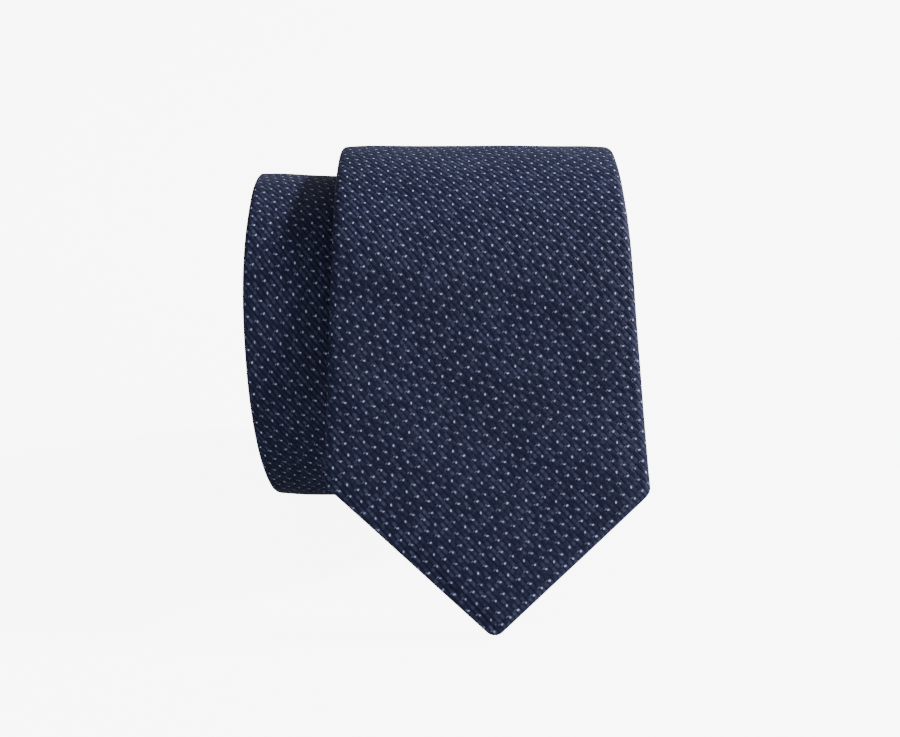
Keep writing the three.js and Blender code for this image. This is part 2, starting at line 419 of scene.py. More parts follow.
def ringMesh(name, grid, uv, caps, smoothCaps, normals=None):
    rows, cols = grid.shape[:2]
    sides = []
    for i in range(rows - 1):
        for j in range(cols):
            k = (j + 1) % cols
            sides.append((i * cols + j, i * cols + k, (i + 1) * cols + k, (i + 1) * cols + j))
    mesh = bpy.data.meshes.new(name)
    mesh.from_pydata((grid.reshape(-1, 3) * mm).tolist(), [], sides + caps)
    layer = mesh.uv_layers.new(name="cloth")
    corners = np.zeros(len(mesh.loops), np.int32)
    mesh.loops.foreach_get("vertex_index", corners)
    layer.data.foreach_set("uv", uv.reshape(-1, 2)[corners].astype(np.float32).ravel())
    isSmooth = np.ones(len(mesh.polygons), bool)
    isSmooth[len(sides):] = smoothCaps
    mesh.polygons.foreach_set("use_smooth", isSmooth)
    points = grid.reshape(-1, 3)
    quads = np.array([face for face in sides + caps if len(face) == 4])
    a, b, c, d = (points[quads[:, i]] for i in range(4))
    volume = (a * np.cross(b, c)).sum() + (a * np.cross(c, d)).sum()
    if volume < 0:
        mesh.flip_normals()
    mesh.update()
    if normals is not None:
        mesh.normals_split_custom_set_from_vertices(normals.reshape(-1, 3).tolist())
    obj = bpy.data.objects.new(name, mesh)
    bpy.context.scene.collection.objects.link(obj)
    return obj


def rowsBetween(start, end, step):
    # cross-sections along a stretch, closer where the roll is tight
    rows = [start]
    while rows[-1] < end:
        angle = float(np.interp(rows[-1], pathLength, pathAngle))
        radius = float(coilRadius(angle)) if rows[-1] > roll["flap"] else 60
        rows.append(rows[-1] + min(step, max(0.6, radius * 0.055)))
    rows[-1] = end
    return rows


def pathPoint(s, depth=0.0):
    return Vector(pointAt(0.0, depth, s)) * mm


# where the cloth is split, in mm along the strip, and for each joint the two pieces it lies between and
# the stretch it spans
splits = {"front": 108.0, "back": 166.0, "roll": 224.0, "inner": 430.0}
bends = {
    "bladeLift": ("blade", "turn_front", 64.0, 98.0),
    "unrollTop": ("turn_front", "turn_back", 112.0, 161.0),
    "unrollBack": ("turn_back", "roll", 176.0, 204.0),
}


def bendWith(obj, name):
    first, second, start, end = bends[name]
    pathPoint(start)
    pathPoint(end)
    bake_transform(obj)


rowStep = {"front": 0.9, "roll": 1.2, "inner": 2.2}  # between cross-sections, in mm
fineRows = [noseStart + close for close in (0.02, 0.12, 0.3, 0.55, 0.85)]
fineRows += rowsBetween(noseStart + 1.2, splits["front"], rowStep["front"])
fineRows += rowsBetween(splits["front"], splits["back"], rowStep["front"])[1:]
fineRows += rowsBetween(splits["back"], splits["roll"], rowStep["front"])[1:]
fineRows += rowsBetween(splits["roll"], splits["inner"], rowStep["roll"])[1:]
print("weaving the blade")
fineGrid, fineUv = clothRows(fineRows, fineDetail)
fineNormals = ringNormals(fineGrid)
frontRow, backRow, rollRow = (fineRows.index(splits[k]) for k in ("front", "back", "roll"))


def clothStretch(name, first, last):
    part = slice(first, last + 1)
    return stripMesh(name, fineGrid[part], fineUv[part], fineNormals[part])


bladeCloth = clothStretch("bladeCloth", 0, frontRow)
turnFrontCloth = clothStretch("turnFrontCloth", frontRow, backRow)
turnBackCloth = clothStretch("turnBackCloth", backRow, rollRow)
rollCloth = clothStretch("rollCloth", rollRow, len(fineRows) - 1)


def coarseStretch(name, start, end):
    grid, uv = clothRows(rowsBetween(start, end, rowStep["inner"]), plainDetail)
    return stripMesh(name, grid, uv)


print("winding the inner turns")
seamGap = 0.1  # on each side of a neck seam
innerCloth = coarseStretch("innerTurnCloth", splits["inner"], strip["bladePiece"] - seamGap)
neckCloth = coarseStretch("neckCloth", strip["bladePiece"] + seamGap, neckEnd - seamGap)
tailEnd = strip["length"] - noseStart
tailRows = rowsBetween(neckEnd + seamGap, strip["length"] - 8, rowStep["inner"])
tailRows += rowsBetween(strip["length"] - 7.5, tailEnd - 0.9, 0.6)
tailRows += [tailEnd - close for close in (0.5, 0.2, 0.03)]
tailGrid, tailUv = clothRows(tailRows, plainDetail)
tailCloth = stripMesh("tailCloth", tailGrid, tailUv)


# what the cloth holds: interlining, tippings, stitches and trims
def slabRows(rows, halfWidth, near, far, corner=0.25):
    # a flat piece that follows the strip: near and far are depths of its two faces
    grids, uvs = [], []
    for s in rows:
        w = float(halfWidth(s))
        c = min(corner, w * 0.4, (far - near) * 0.45)
        across = np.linspace(-(w - c), w - c, 9)
        top = [(a, near) for a in across]
        bottom = [(a, far) for a in across[::-1]]
        ring = top + [(w, near + c), (w, far - c)] + bottom + [(-w, far - c), (-w, near + c)]
        ring = np.array(ring)
        grids.append(place(ring[:, 0], ring[:, 1], s))
        uvs.append(np.stack([ring[:, 0] / 6.0, np.full(len(ring), s / 6.0)], axis=-1))
    return np.array(grids), np.array(uvs)


def slab(name, start, end, halfWidth, near, far, step=1.6, corner=0.25):
    grid, uv = slabRows(rowsBetween(start, end, step), halfWidth, near, far, corner)
    return slabMesh(name, grid, uv)


halfThick = strip["thickness"] / 2
# the interlining: its distance from the edges, half its thickness, and its distance from each tip, in mm
inside = {"side": 1.9, "pointSide": 3.5, "half": 0.72, "fromTip": 6.0}


def interliningHalf(s):
    # it stops further from the edge at the points, clear of the hem's pressed line
    near = float(smooth((min(s, strip["length"] - s) - bladeShoulder) / 8))
    return widthAt(s) / 2 - mix(inside["pointSide"], inside["side"], near) / edgeCosine(s)


stretches = (
    ("blade", inside["fromTip"], splits["front"]),
    ("turnFront", splits["front"], splits["back"]),
    ("turnBack", splits["back"], splits["roll"]),
    ("roll", splits["roll"], strip["length"] - inside["fromTip"]),
)
interlinings = {}
for part, start, end in stretches:
    name = part + "Interlining"
    interlinings[part] = slab(name, start, end, interliningHalf, -inside["half"], inside["half"])

stitch = {
    "first": strip["bladeThroat"] + 2, "last": strip["length"] - strip["tailThroat"] - 2,
    "length": 7.0, "across": 0.55, "radius": 0.16, "lift": 0.10, "rise": 0.12,
}


def threadTube(name, points, radius, sides=6):
    # a sewing thread along a row of points in mm
    points = np.array(points)
    tangent = np.gradient(points, axis=0)
    tangent /= np.maximum(np.linalg.norm(tangent, axis=1), 1e-9)[:, None]
    across = np.array([1.0, 0, 0]) if abs(tangent[0][0]) < 0.8 else np.array([0, 0, 1.0])
    rings, uvs, travelled = [], [], 0.0
    for i, p in enumerate(points):
        across = across - tangent[i] * (across @ tangent[i])
        across /= np.linalg.norm(across)
        other = np.cross(tangent[i], across)
        around = np.linspace(0, 2 * math.pi, sides, endpoint=False)
        rings.append(p + radius * (np.cos(around)[:, None] * across + np.sin(around)[:, None] * other))
        travelled += 0 if i == 0 else float(np.linalg.norm(points[i] - points[i - 1]))
        uvs.append(np.stack([around / 6.28, np.full(sides, travelled)], axis=-1))
    return slabMesh(name, np.array(rings), np.array(uvs))


def slipStitch(name, start, end):
    # the thread crosses from fold to fold up the centre back
    points = []
    for s in np.arange(start, end, 0.9 if start < splits["roll"] else 1.3):
        phase = s / stitch["length"] * 2 * math.pi
        across = stitch["across"] * math.sin(phase)
        depth = halfThickAt(s) + stitch["lift"] + stitch["rise"] * math.cos(2 * phase)
        points.append(pointAt(across, depth, s))
    return threadTube(name, points, stitch["radius"])


slipStitches = {}
for part, start, end in stretches:
    name = part + "SlipStitch"
    slipStitches[part] = slipStitch(name, max(start, stitch["first"]), min(end, stitch["last"]))

lining = {"under": 2.2, "thick": 0.3, "depth": 0.62, "fromTip": 4.0, "pastBlade": 9, "pastTail": 4}


def liningHalf(s):
    return max(0.3, float(widthAt(s)) / 2 - lining["under"] / edgeCosine(s))


liningEnds = {
    "bladeTipping": (lining["fromTip"], strip["bladeThroat"] + lining["pastBlade"]),
    "tailTipping": (strip["length"] - strip["tailThroat"] - lining["pastTail"],
                    strip["length"] - lining["fromTip"]),
}


def tipping(name):
    start, end = liningEnds[name]
    depth = halfThick - lining["depth"]
    return slab(name, start, end, liningHalf, depth - lining["thick"], depth, 1.2, 0.1)


bladeTipping = tipping("bladeTipping")
tailTipping = tipping("tailTipping")


keeper = {
    "at": 205.0, "band": 11.0, "margin": 5.0, "thick": 0.85, "wall": 0.28, "lift": 0.25, "puff": 0.35,
    "sewnReach": 4.0, "sewnThin": 0.45, "seam": 0.04, "repeat": 9.7,
}


def keeperLoop():
    # a flattened tube of the tie's own cloth across the back; its ends are sewn down
    half = float(widthAt(keeper["at"])) / 2 - keeper["margin"]
    middle = keeper["at"] + keeper["band"] / 2
    grids, uvs = [], []
    for a in np.linspace(-half, half, 61):
        near = clamp((half - abs(a)) / keeper["sewnReach"])
        thick = keeper["thick"] * mix(keeper["sewnThin"], 1.0, float(smooth(near)))
        lift = keeper["lift"] + keeper["puff"] * float(smooth(near))
        wall = min(keeper["wall"], 0.35 * thick)
        outer, inner = [], []
        for t in np.linspace(-math.pi / 2 + keeper["seam"], math.pi * 1.5 - keeper["seam"], 36):
            wide = math.copysign(abs(math.cos(t)) ** 0.35, math.cos(t))
            deep = math.copysign(abs(math.sin(t)) ** 0.6, math.sin(t))
            outer.append((wide * keeper["band"] / 2, deep * thick / 2))
            inner.append((wide * (keeper["band"] / 2 - wall), deep * (thick / 2 - wall)))
        steps = np.diff(np.array(outer), axis=0)
        travelled = np.concatenate([[0], np.cumsum(np.hypot(steps[:, 0], steps[:, 1]))])
        lifted = halfThick + lift + thick / 2
        grids.append([pointAt(a, lifted + d, middle + w) for w, d in outer + inner[::-1]])
        around = np.concatenate([travelled, travelled[::-1]])
        uvs.append(np.stack([a + around, a - around], axis=-1) / keeper["repeat"])
    return stripMesh("keeperLoop", np.array(grids), np.array(uvs))


keeperPiece = keeperLoop()


# bar tacks: middle along the strip, width across, length along, all in mm, and the number of threads
tacks = {
    "bladeBarTack": {"at": strip["bladeThroat"] - 0.5, "width": 7.0, "length": 2.2, "threads": 20},
    "tailBarTack": {"at": strip["length"] - strip["tailThroat"] + 0.5, "width": 5.0, "length": 2.0,
                    "threads": 15},
}


def satinBar(name, depth, radius=0.15):
    # close threads side by side, each over the cloth and down into it at both ends
    bar, meshes = tacks[name], []
    for k, a in enumerate(np.linspace(-bar["width"] / 2, bar["width"] / 2, bar["threads"])):
        points = []
        for t in np.linspace(-1, 1, 9):
            d = depth + 0.35 * (1 - t ** 4) - 0.25 * abs(t) ** 6
            points.append(pointAt(a + 0.06 * math.sin(k * 2.3), d, bar["at"] + bar["length"] / 2 * t))
        meshes.append(threadTube(f"{name}Thread{k}", points, radius, 6))
    return joined(name, meshes)


def joined(name, parts):
    # one piece from several small ones
    bpy.ops.object.select_all(action="DESELECT")
    for p in parts:
        p.select_set(True)
    bpy.context.view_layer.objects.active = parts[0]
    bpy.ops.object.join()
    parts[0].name = name
    parts[0].data.name = name
    return parts[0]


bladeTack = satinBar("bladeBarTack", halfThick - 0.05)
tailTack = satinBar("tailBarTack", halfThickAt(strip["length"]) - 0.05)

label = {"at": 150.0, "length": 16.0, "width": 32.0, "thick": 0.25, "lift": 0.12, "corner": 0.1}
tag = {"at": 66.0, "length": 11.0, "width": 14.0, "thick": 0.22, "lift": 0.15, "corner": 0.08}


def sewnTag(name, sizes):
    near = halfThick + sizes["lift"]
    return slab(name, sizes["at"], sizes["at"] + sizes["length"], lambda s: sizes["width"] / 2,
                near, near + sizes["thick"], 0.8, sizes["corner"])


def endStitches(name, sizes, pitch=1.3, radius=0.13):
    # small slanting stitches over both short ends of a label
    parts = []
    depth = halfThick + sizes["lift"] + sizes["thick"]
    for side in (-1, 1):
        for k, s in enumerate(np.arange(sizes["at"] + 1.0, sizes["at"] + sizes["length"] - 0.6, pitch)):
            points = []
            for t in np.linspace(0, 1, 5):
                a = side * (sizes["width"] / 2 - 0.9 + 1.6 * t)
                points.append(pointAt(a, depth + 0.16 * math.sin(math.pi * t), s + 0.5 * t))
            parts.append(threadTube(f"{name}{side}{k}", points, radius, 5))
    return joined(name, parts)


labelPiece = sewnTag("blankLabel", label)
labelStitches = endStitches("labelStitches", label)
tagPiece = sewnTag("careTag", tag)
print("trims sewn on")


# shared shader effects
def newGroup(name, inputs, outputs):
    tree = bpy.data.node_groups.new(name, "ShaderNodeTree")
    for title, kind, value in inputs:
        socket = tree.interface.new_socket(title, in_out="INPUT", socket_type=kind)
        if value is not None:
            socket.default_value = value
    for title, kind in outputs:
        tree.interface.new_socket(title, in_out="OUTPUT", socket_type=kind)
    return tree, tree.nodes.new("NodeGroupInput"), tree.nodes.new("NodeGroupOutput")


def calc(tree, operation, *values):
    node = tree.nodes.new("ShaderNodeMath")
    node.operation = operation
    for i, value in enumerate(values):
        if hasattr(value, "is_output"):
            tree.links.new(value, node.inputs[i])
        else:
            node.inputs[i].default_value = value
    return node.outputs[0]


def clothPlace(tree):
    node = tree.nodes.new("ShaderNodeUVMap")
    node.uv_map = "cloth"
    return node.outputs[0]


def useGroup(tree, group, settings):
    node = tree.nodes.new("ShaderNodeGroup")
    node.node_tree = group
    for title, value in settings.items():
        if hasattr(value, "is_output"):
            tree.links.new(value, node.inputs[title])
        else:
            node.inputs[title].default_value = value
    return node.outputs


def ramp(tree, value, low, high, toLow, toHigh):
    node = tree.nodes.new("ShaderNodeMapRange")
    node.interpolation_type = "SMOOTHSTEP"
    tree.links.new(value, node.inputs["Value"])
    for title, number in (("From Min", low), ("From Max", high), ("To Min", toLow), ("To Max", toHigh)):
        node.inputs[title].default_value = number
    return node.outputs[0]


def blendColour(tree, factor, a, b):
    node = tree.nodes.new("ShaderNodeMix")
    node.data_type = "RGBA"
    for socket, value in ((node.inputs[0], factor), (node.inputs[6], a), (node.inputs[7], b)):
        if hasattr(value, "is_output"):
            tree.links.new(value, socket)
        elif isinstance(value, (int, float)):
            socket.default_value = value
        else:
            socket.default_value = (*value, 1)
    return node.outputs[2]


def splitPlace(tree, vector):
    node = tree.nodes.new("ShaderNodeSeparateXYZ")
    tree.links.new(vector, node.inputs[0])
    return node.outputs[0], node.outputs[1]


def chanceAt(tree, *cell):
    # a random value for each cell, from the numbers that tell the cells apart
    place = tree.nodes.new("ShaderNodeCombineXYZ")
    for i, value in enumerate(cell):
        tree.links.new(value, place.inputs[i])
    noise = tree.nodes.new("ShaderNodeTexWhiteNoise")
    noise.noise_dimensions = "3D"
    tree.links.new(place.outputs[0], noise.inputs["Vector"])
    return noise.outputs["Value"]


def makeSpeck():
    # one dot of the weave: an oval float that repeats once in every cell
    tree, gi, go = newGroup("speck", [
        ("Along", "NodeSocketFloat", 0), ("Across", "NodeSocketFloat", 0),
        ("Place Along", "NodeSocketFloat", 0), ("Place Across", "NodeSocketFloat", 0),
        ("Half Width", "NodeSocketFloat", 0.3), ("Half Height", "NodeSocketFloat", 0.3),
        ("Turn", "NodeSocketFloat", 0), ("Brightness", "NodeSocketFloat", 1)],
        [("Speck", "NodeSocketFloat")])
    i = gi.outputs
    centred = []
    cells = []
    for value, centre in ((i["Along"], i["Place Along"]), (i["Across"], i["Place Across"])):
        shifted = calc(tree, "ADD", calc(tree, "SUBTRACT", value, centre), 0.5)
        cells.append(calc(tree, "FLOOR", shifted))
        centred.append(calc(tree, "SUBTRACT", calc(tree, "FRACT", shifted), 0.5))
    wide = calc(tree, "MULTIPLY", calc(tree, "SUBTRACT", centred[0], centred[1]), weave["even"] / 2)
    tall = calc(tree, "MULTIPLY", calc(tree, "ADD", centred[0], centred[1]), -weave["even"] / 2)
    cosine, sine = calc(tree, "COSINE", i["Turn"]), calc(tree, "SINE", i["Turn"])
    x = calc(tree, "ADD", calc(tree, "MULTIPLY", wide, cosine), calc(tree, "MULTIPLY", tall, sine))
    y = calc(tree, "SUBTRACT", calc(tree, "MULTIPLY", tall, cosine), calc(tree, "MULTIPLY", wide, sine))
    x = calc(tree, "DIVIDE", x, i["Half Width"])
    y = calc(tree, "DIVIDE", y, i["Half Height"])
    fromCentre = calc(tree, "ADD", calc(tree, "MULTIPLY", x, x), calc(tree, "MULTIPLY", y, y))
    mask = ramp(tree, fromCentre, 0.35, 1.7, 1.0, 0.0)
    uneven = calc(tree, "MULTIPLY_ADD", chanceAt(tree, *cells, i["Place Across"]), 0.6, 0.55)
    mask = calc(tree, "MULTIPLY", calc(tree, "MULTIPLY", mask, uneven), i["Brightness"])
    tree.links.new(mask, go.inputs["Speck"])
    return tree


def makeDottedWeave(speck):
    # the tie's cloth: pale dots in a fixed repeat on slanting ribs of short floats
    tree, gi, go = newGroup("dottedWeave", [
        ("Cloth", "NodeSocketVector", None), ("Rib Count", "NodeSocketFloat", 4.0),
        ("Float Count", "NodeSocketFloat", 4.0)],
        [("Dots", "NodeSocketFloat"), ("Hollow Shade", "NodeSocketFloat"), ("Ribs", "NodeSocketFloat"),
         ("Floats", "NodeSocketFloat"), ("Threads", "NodeSocketFloat"), ("Yarn", "NodeSocketFloat")])
    u, v = splitPlace(tree, gi.outputs["Cloth"])
    along = calc(tree, "SUBTRACT", u, v)
    across = calc(tree, "MULTIPLY", calc(tree, "ADD", u, v), -1)
    dots = None
    for where, halves, turn, bright in specks:
        mask = useGroup(tree, speck, {
            "Along": along, "Across": across, "Place Along": where[0], "Place Across": where[1],
            "Half Width": halves[0], "Half Height": halves[1], "Turn": turn, "Brightness": bright})[0]
        dots = mask if dots is None else calc(tree, "MAXIMUM", dots, mask)
    tree.links.new(dots, go.inputs["Dots"])
    # painted shade: the cloth is lightest round the dots and darkest in the hollows halfway between them
    alongWave = calc(tree, "COSINE", calc(tree, "MULTIPLY", along, 2 * math.pi))
    acrossWave = calc(tree, "COSINE", calc(tree, "MULTIPLY", across, 4 * math.pi))
    both = calc(tree, "MULTIPLY", alongWave, acrossWave)
    tree.links.new(calc(tree, "MULTIPLY_ADD", both, -0.5, 0.5), go.inputs["Hollow Shade"])
    ribPlace = calc(tree, "MULTIPLY_ADD", across, gi.outputs["Rib Count"], 0.5)
    row = calc(tree, "FLOOR", ribPlace)
    inRib = calc(tree, "SUBTRACT", calc(tree, "MULTIPLY", calc(tree, "FRACT", ribPlace), 2), 1)
    ribs = calc(tree, "SQRT", calc(tree, "SUBTRACT", 1.001, calc(tree, "MULTIPLY", inRib, inRib)))
    floatPlace = calc(tree, "MULTIPLY_ADD", along, gi.outputs["Float Count"], 0.5)
    inFloat = calc(tree, "SUBTRACT", calc(tree, "MULTIPLY", calc(tree, "FRACT", floatPlace), 2), 1)
    floats = calc(tree, "SUBTRACT", 1, calc(tree, "POWER", calc(tree, "ABSOLUTE", inFloat), 2.0))
    chance = chanceAt(tree, row, calc(tree, "FLOOR", floatPlace))
    # fine threads, four to a rib, that slant across it
    slant = calc(tree, "MULTIPLY_ADD", floatPlace, 0.5, ribPlace)
    slant = calc(tree, "MULTIPLY", slant, 8 * math.pi)
    tree.links.new(calc(tree, "MULTIPLY_ADD", calc(tree, "SINE", slant), 0.5, 0.5), go.inputs["Threads"])
    tree.links.new(ribs, go.inputs["Ribs"])
    tree.links.new(floats, go.inputs["Floats"])
    tree.links.new(chance, go.inputs["Yarn"])
    return tree


def makeUneven():
    # slow and fine unevenness, from the place on the object in metres
    tree, gi, go = newGroup("uneven", [
        ("Place", "NodeSocketVector", None), ("Slow Scale", "NodeSocketFloat", 60.0),
        ("Fine Scale", "NodeSocketFloat", 2500.0)],
        [("Slow", "NodeSocketFloat"), ("Fine", "NodeSocketFloat")])
    for scale, output in (("Slow Scale", "Slow"), ("Fine Scale", "Fine")):
        noise = tree.nodes.new("ShaderNodeTexNoise")
        noise.inputs["Detail"].default_value = 2.0
        tree.links.new(gi.outputs["Place"], noise.inputs["Vector"])
        tree.links.new(gi.outputs[scale], noise.inputs["Scale"])
        tree.links.new(noise.outputs[0], go.inputs[output])
    return tree


# each dot or faint tail: its place in the cell, half width and half height in mm, turn, brightness
specks = (
    ((0.0, 0.0), (0.19, 0.31), 0.12, 1.0),
    ((0.0, 0.5), (0.31, 0.18), 0.25, 0.85),
    ((0.5, 0.25), (0.21, 0.24), 0.0, 0.75),
    ((0.5, 0.75), (0.30, 0.20), 0.8, 0.9),
    ((0.40, 0.33), (0.34, 0.12), 0.8, 0.32),
    ((0.90, 0.57), (0.34, 0.12), 0.8, 0.32),
    ((0.42, 0.85), (0.30, 0.12), 0.8, 0.28),
)
speckGroup = makeSpeck()
weaveGroup = makeDottedWeave(speckGroup)
unevenGroup = makeUneven()


def startMaterial(name, roughness, sheen, specular=0.3):
    mat = bpy.data.materials.new(name)
    mat.use_nodes = True
    tree = mat.node_tree
    shader = tree.nodes["Principled BSDF"]
    shader.inputs["Roughness"].default_value = roughness
    shader.inputs["Sheen Weight"].default_value = sheen
    shader.inputs["Sheen Roughness"].default_value = 0.4
    shader.inputs["Specular IOR Level"].default_value = specular
    return mat, tree, shader


def unevenIn(tree, slow, fine):
    position = tree.nodes.new("ShaderNodeTexCoord").outputs["Object"]
    out = useGroup(tree, unevenGroup, {"Place": position, "Slow Scale": slow, "Fine Scale": fine})
    return out["Slow"], out["Fine"]


def bumpInto(tree, shader, height, distance, strength=1.0):
    bump = tree.nodes.new("ShaderNodeBump")
    bump.inputs["Distance"].default_value = distance
    bump.inputs["Strength"].default_value = strength
    tree.links.new(height, bump.inputs["Height"])
    tree.links.new(bump.outputs[0], shader.inputs["Normal"])


tieCloth = {
    "deep": (0.0026, 0.0037, 0.0185), "ground": (0.0208, 0.0243, 0.0632), "fleck": (0.068, 0.077, 0.146),
    "dot": (0.44, 0.49, 0.74), "roughness": 0.6, "sheen": 0.02, "relief": 0.00018,
}


def makeTieCloth():
    mat, tree, shader = startMaterial("tieCloth", tieCloth["roughness"], tieCloth["sheen"], 0.10)
    shader.inputs["Sheen Tint"].default_value = (0.5, 0.6, 1.0, 1)
    cloth = useGroup(tree, weaveGroup, {"Cloth": clothPlace(tree)})
    slow, fine = unevenIn(tree, 45, 2200)
    yarn, raised = cloth["Yarn"], calc(tree, "MULTIPLY_ADD", cloth["Floats"], 0.2, 0.8)
    raised = calc(tree, "MULTIPLY", cloth["Ribs"], raised)
    # how light the ground is: painted shade in the grooves between the ribs and floats and in the
    # hollows between the dots, and real unevenness from yarn to yarn
    # painted shade: the colour darkens with the height of the ribs and floats, lowest in the grooves
    light = calc(tree, "POWER", raised, 1.8)
    for value, spread, least in ((yarn, 0.4, 0.8), (slow, 0.5, 0.75), (cloth["Threads"], 0.35, 0.85),
                                 (cloth["Hollow Shade"], -0.75, 1.3)):
        light = calc(tree, "MULTIPLY", light, calc(tree, "MULTIPLY_ADD", value, spread, least))
    light = calc(tree, "MULTIPLY", light, ramp(tree, fine, 0.3, 0.7, 0.8, 1.2))
    light = calc(tree, "MINIMUM", light, 1.0)
    colour = blendColour(tree, light, tieCloth["deep"], tieCloth["ground"])
    flecks = calc(tree, "POWER", raised, 4.0)
    flecks = calc(tree, "MULTIPLY", flecks, ramp(tree, yarn, 0.4, 1.0, 0.0, 0.7))
    flecks = calc(tree, "MULTIPLY", flecks, ramp(tree, fine, 0.36, 0.62, 0.5, 1.0))
    colour = blendColour(tree, flecks, colour, tieCloth["fleck"])
    dots = calc(tree, "MINIMUM", cloth["Dots"], 1.0)
    colour = blendColour(tree, dots, colour, tieCloth["dot"])
    tree.links.new(colour, shader.inputs["Base Color"])
    roughness = calc(tree, "MULTIPLY_ADD", yarn, 0.2, tieCloth["roughness"] - 0.1)
    tree.links.new(roughness, shader.inputs["Roughness"])
    bumpInto(tree, shader, calc(tree, "MULTIPLY_ADD", dots, 0.5, raised), tieCloth["relief"])
    return mat


def makePlainThreads():
    # a fine plain weave: two sets of threads that cross
    tree, gi, go = newGroup("plainThreads", [
        ("Cloth", "NodeSocketVector", None), ("Thread Count", "NodeSocketFloat", 80.0)],
        [("Threads", "NodeSocketFloat")])
    u, v = splitPlace(tree, gi.outputs["Cloth"])
    both = []
    for operation, share in (("ADD", 1.0), ("SUBTRACT", 0.5)):
        across = calc(tree, operation, u, v)
        turns = calc(tree, "MULTIPLY", across, calc(tree, "MULTIPLY", gi.outputs["Thread Count"], share))
        both.append(calc(tree, "MULTIPLY", calc(tree, "SINE", turns), share))
    threads = calc(tree, "MULTIPLY_ADD", calc(tree, "ADD", both[0], both[1]), 0.33, 0.5)
    tree.links.new(threads, go.inputs["Threads"])
    return tree


plainGroup = makePlainThreads()


# the linings, tapes and labels, the interlining and the thread: darkest and lightest colour, finish
plainCloths = {
    "liningTwill": {"dark": (0.004, 0.006, 0.022), "light": (0.014, 0.020, 0.066), "roughness": 0.5,
                    "sheen": 0.05, "specular": 0.22, "count": 90.0, "relief": 0.00006},
    "labelSatin": {"dark": (0.006, 0.008, 0.026), "light": (0.022, 0.028, 0.080), "roughness": 0.45,
                   "sheen": 0.04, "specular": 0.25, "count": 60.0, "relief": 0.00005},
    "careTape": {"dark": (0.62, 0.60, 0.55), "light": (0.84, 0.82, 0.77), "roughness": 0.6,
                 "sheen": 0.1, "specular": 0.3, "count": 70.0, "relief": 0.00005},
}
wool = {"dark": (0.42, 0.38, 0.30), "light": (0.80, 0.76, 0.66), "relief": 0.0003}
thread = {"dark": (0.012, 0.016, 0.04), "light": (0.05, 0.06, 0.13), "relief": 0.00008, "twist": 9.0}


def makePlainWeave(name):
    look = plainCloths[name]
    mat, tree, shader = startMaterial(name, look["roughness"], look["sheen"], look["specular"])
    plain = useGroup(tree, plainGroup, {"Cloth": clothPlace(tree), "Thread Count": look["count"]})
    threads = plain["Threads"]
    slow, fine = unevenIn(tree, 70, 3000)
    tone = calc(tree, "MULTIPLY", threads, calc(tree, "MULTIPLY_ADD", slow, 0.8, 0.5))
    tree.links.new(blendColour(tree, tone, look["dark"], look["light"]), shader.inputs["Base Color"])
    roughness = calc(tree, "MULTIPLY_ADD", fine, 0.25, look["roughness"] - 0.12)
    tree.links.new(roughness, shader.inputs["Roughness"])
    bumpInto(tree, shader, threads, look["relief"])
    return mat


def makeFelt():
    mat, tree, shader = startMaterial("brushedWool", 0.92, 0.4, 0.15)
    slow, fine = unevenIn(tree, 120, 1800)
    tone = calc(tree, "MULTIPLY_ADD", fine, 0.7, calc(tree, "MULTIPLY", slow, 0.3))
    tree.links.new(blendColour(tree, tone, wool["dark"], wool["light"]), shader.inputs["Base Color"])
    tree.links.new(calc(tree, "MULTIPLY_ADD", fine, 0.15, 0.82), shader.inputs["Roughness"])
    bumpInto(tree, shader, fine, wool["relief"])
    return mat


def makeThread():
    mat, tree, shader = startMaterial("sewingThread", 0.5, 0.2)
    around, along = splitPlace(tree, clothPlace(tree))
    along = calc(tree, "MULTIPLY", along, thread["twist"])
    twist = calc(tree, "SINE", calc(tree, "MULTIPLY_ADD", around, 4 * math.pi, along))
    ply = calc(tree, "MULTIPLY_ADD", twist, 0.5, 0.5)
    tree.links.new(blendColour(tree, ply, thread["dark"], thread["light"]), shader.inputs["Base Color"])
    tree.links.new(calc(tree, "MULTIPLY_ADD", ply, 0.15, 0.42), shader.inputs["Roughness"])
    bumpInto(tree, shader, ply, thread["relief"])
    return mat


clothMat = makeTieCloth()
liningMat = makePlainWeave("liningTwill")
labelMat = makePlainWeave("labelSatin")
tapeMat = makePlainWeave("careTape")
feltMat = makeFelt()
threadMat = makeThread()
print("finishes mixed")


# what each piece is made of, moves with and stands for
def dress(obj, material, slot, *nodes):
    obj.data.materials.clear()
    obj.data.materials.append(material)
    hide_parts(*nodes)


def declareFlat(obj, start, end, halfWidth, restsOn):
    s = np.arange(start, end, 0.5)
    width = np.array([2 * float(halfWidth(x)) for x in s])


def moveWith(obj, how):
    # a joint's name only bakes the piece's place into its mesh, and a body's name carries the piece
    if how in bends:
        bendWith(obj, how)
    else:
        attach(obj, how)


cloths = (
    (bladeCloth, "blade_point_cloth", "bladeLift", 0, splits["front"], "blade"),
    (turnFrontCloth, "turn_front_cloth", "unrollTop", splits["front"], splits["back"], "turnFront"),
    (turnBackCloth, "turn_back_cloth", "unrollBack", splits["back"], splits["roll"], "turnBack"),
    (rollCloth, "roll_cloth", "roll", splits["roll"], splits["inner"], "roll"),
    (innerCloth, "roll_cloth", "roll", splits["inner"], strip["bladePiece"], "roll"),
    (neckCloth, "neck_cloth", "roll", strip["bladePiece"], neckEnd, "roll"),
    (tailCloth, "tail_cloth", "roll", neckEnd, strip["length"], "roll"),
)
for obj, node, how, start, end, part in cloths:
    dress(obj, clothMat, "tie_cloth", node)
    moveWith(obj, how)

partMoves = {"blade": ("blade_point", "bladeLift"), "turnFront": ("turn_front", "unrollTop"),
             "turnBack": ("turn_back", "unrollBack"), "roll": ("roll", "roll")}
for part, start, end in stretches:
    node, how = partMoves[part]
    dress(interlinings[part], feltMat, "interlining", node + "_interlining")
    declareFlat(interlinings[part], start, end, interliningHalf, [])
    dress(slipStitches[part], threadMat, "thread", node + "_slip_stitch")
    moveWith(interlinings[part], how)
    moveWith(slipStitches[part], how)

